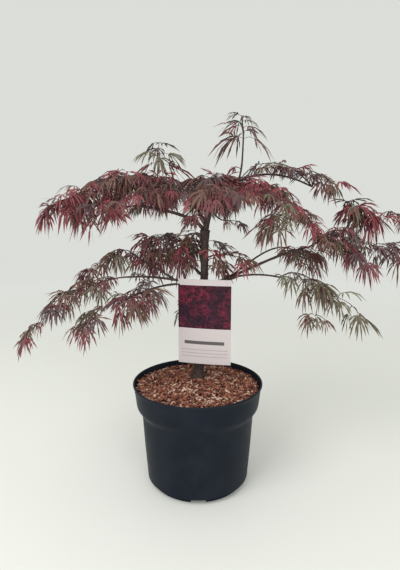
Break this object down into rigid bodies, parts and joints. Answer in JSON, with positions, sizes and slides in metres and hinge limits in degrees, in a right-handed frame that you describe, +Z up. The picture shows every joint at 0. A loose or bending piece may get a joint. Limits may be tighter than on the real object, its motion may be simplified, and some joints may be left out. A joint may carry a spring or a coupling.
{
  "type": "potted weeping maple",
  "caption": "Weeping laceleaf maple with a thin stem, arching boughs and drooping dark red leaves, in a round black nursery pot topped with bark, with a picture card tied to the stem.",
  "frame": {"origin": "middle of the pot's flat underside, level with the surface it stands on", "axes": "+Z up; the front, where the card faces, is -Y; +X is to the right seen from the front, along the crown's longest spread"},
  "size_m": [0.6582, 0.4292, 0.6258],
  "materials": {
    "pot": "black moulded plastic, faintly shiny",
    "bark_mulch": "rough red-brown bark chips",
    "wood": "thin smooth dark brown bark with fine cracks",
    "leaf": "matt dark red to bronze leaves",
    "card": "pale laminated card with a dark picture panel, no lettering"
  },
  "bodies": {
    "root": {"arch_inner": "leaf", "arch_middle": "leaf", "arch_outer": "leaf", "arch_spur": "leaf", "back_bough": "wood", "back_left_bough": "wood", "back_left_pad": "leaf", "back_pad": "leaf", "back_right_fork": "wood", "back_right_pad": "leaf", "bark_mulch": "bark_mulch", "bottom_left_bough": "wood", "bottom_left_inner": "leaf", "bottom_left_outer": "leaf", "crown_heart": "leaf", "front_left_pad": "leaf", "front_pad": "leaf", "front_right_pad": "leaf", "hanging_card": "card", "high_left_bough": "wood", "high_left_inner": "leaf", "high_left_middle": "leaf", "high_left_outer": "leaf", "high_left_tip": "leaf", "high_right_bough": "wood", "high_right_inner": "leaf", "high_right_middle": "leaf", "high_right_outer": "leaf", "high_right_tip": "leaf", "leader": "wood", "left_fork": "wood", "left_sprig_whorl": "leaf", "low_back_left_pad": "leaf", "low_back_pad": "leaf", "low_back_right_pad": "leaf", "low_left_bough": "wood", "low_left_inner": "leaf", "low_left_middle": "leaf", "low_left_tip": "leaf", "low_right_bough": "wood", "low_right_inner": "leaf", "low_right_outer": "leaf", "low_right_spray": "leaf", "mid_left_inner": "leaf", "mid_left_middle": "leaf", "mid_left_outer": "leaf", "mid_left_tip": "leaf", "mid_right_bough": "wood", "mid_right_inner": "leaf", "mid_right_outer": "leaf", "pot": "pot", "stem_spray": "leaf", "top_shoot": "wood", "top_whorl": "leaf", "trunk": "wood", "twin_pad": "leaf", "under_crown_spray": "leaf", "under_left_bough": "wood", "under_left_pad": "leaf", "upper_right_twin": "wood"}
  },
  "joints": []
}
